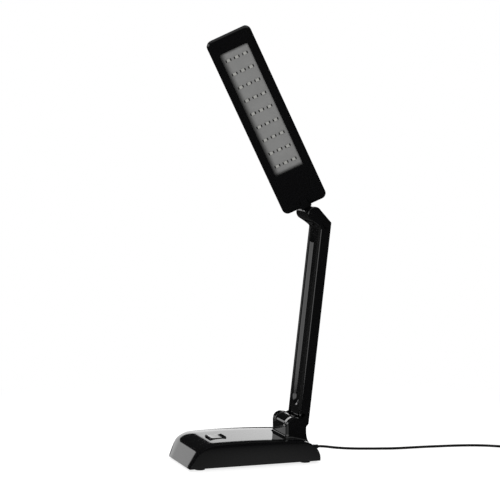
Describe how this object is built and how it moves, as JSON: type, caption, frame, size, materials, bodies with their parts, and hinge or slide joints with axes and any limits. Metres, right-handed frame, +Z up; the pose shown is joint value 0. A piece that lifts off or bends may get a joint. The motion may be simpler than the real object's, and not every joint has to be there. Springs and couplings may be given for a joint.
{
  "type": "folding desk lamp",
  "caption": "Folding desk lamp: flat swivel head with rows of small lights on a hinged flat arm, weighted rectangular base with push button, and a thin cord with a plug.",
  "frame": {"origin": "on the table, under the middle of the standing lamp's outer box without its cord", "axes": "+Z up, -Y towards the button end of the base, +Y towards the arm's hinge and the cord, +X across the base"},
  "size_m": [0.099, 0.4285, 0.4323],
  "materials": {
    "black_gloss": "glossy black moulded plastic",
    "black_matt": "black moulded plastic with a dull surface",
    "iron": "raw cast plate",
    "rubber": "black soft rubber",
    "steel": "zinc-plated steel",
    "board_green": "green circuit board",
    "board_white": "white-lacquered circuit board behind a dim window",
    "led_yellow": "unlit light chip with a pale yellow face",
    "cord_black": "black cord jacket, satin",
    "nickel": "nickel-plated sheet",
    "wire_red": "red wire insulation"
  },
  "bodies": {
    "base": {"base_cover": "black_gloss", "base_plate": "black_matt", "ballast": "iron", "feet": "rubber", "base_screws": "steel", "switch_board": "board_green", "power_switch": "black_matt", "hinge_bracket": "steel", "arm_pin": "steel", "strain_relief": "rubber", "cord_lead": "cord_black", "cord_coil": "cord_black", "cord_tail": "cord_black", "plug_body": "black_matt", "plug_shell": "nickel"},
    "button": {"power_button": "black_gloss", "switch_plunger": "black_matt"},
    "arm": {"arm_shell": "black_gloss", "arm_cover": "black_gloss", "arm_strip": "steel", "arm_wires": "wire_red", "arm_screws": "steel", "arm_washers": "steel", "head_pin": "steel", "pin_caps": "black_gloss"},
    "neck": {"neck_knuckle": "black_gloss", "neck_washers": "steel", "neck_clip": "steel"},
    "head": {"head_neck": "black_gloss", "head_back": "black_gloss", "head_bezel": "black_gloss", "led_board": "board_white", "leds": "led_yellow", "head_screws": "steel"}
  },
  "joints": [
    {"name": "arm_fold", "type": "hinge", "parent": "base", "child": "arm", "pos_m": [0, 0.0383, 0.0338], "axis": [1, 0, 0], "range_deg": [-25, 93]},
    {"name": "head_tilt", "type": "hinge", "parent": "arm", "child": "neck", "pos_m": [0, 0.0594, 0.24639], "axis": [1, 0, 0], "range_deg": [-60, 95]},
    {"name": "head_swivel", "type": "hinge", "parent": "neck", "child": "head", "pos_m": [0, 0.0594, 0.24639], "axis": [0, -0.4399, 0.898], "range_deg": [-162, 17]},
    {"name": "power_button", "type": "slide", "parent": "base", "child": "button", "axis": [0, 0, -1], "range_m": [0, 0.0015], "stiffness_N_per_m": 700}
  ]
}
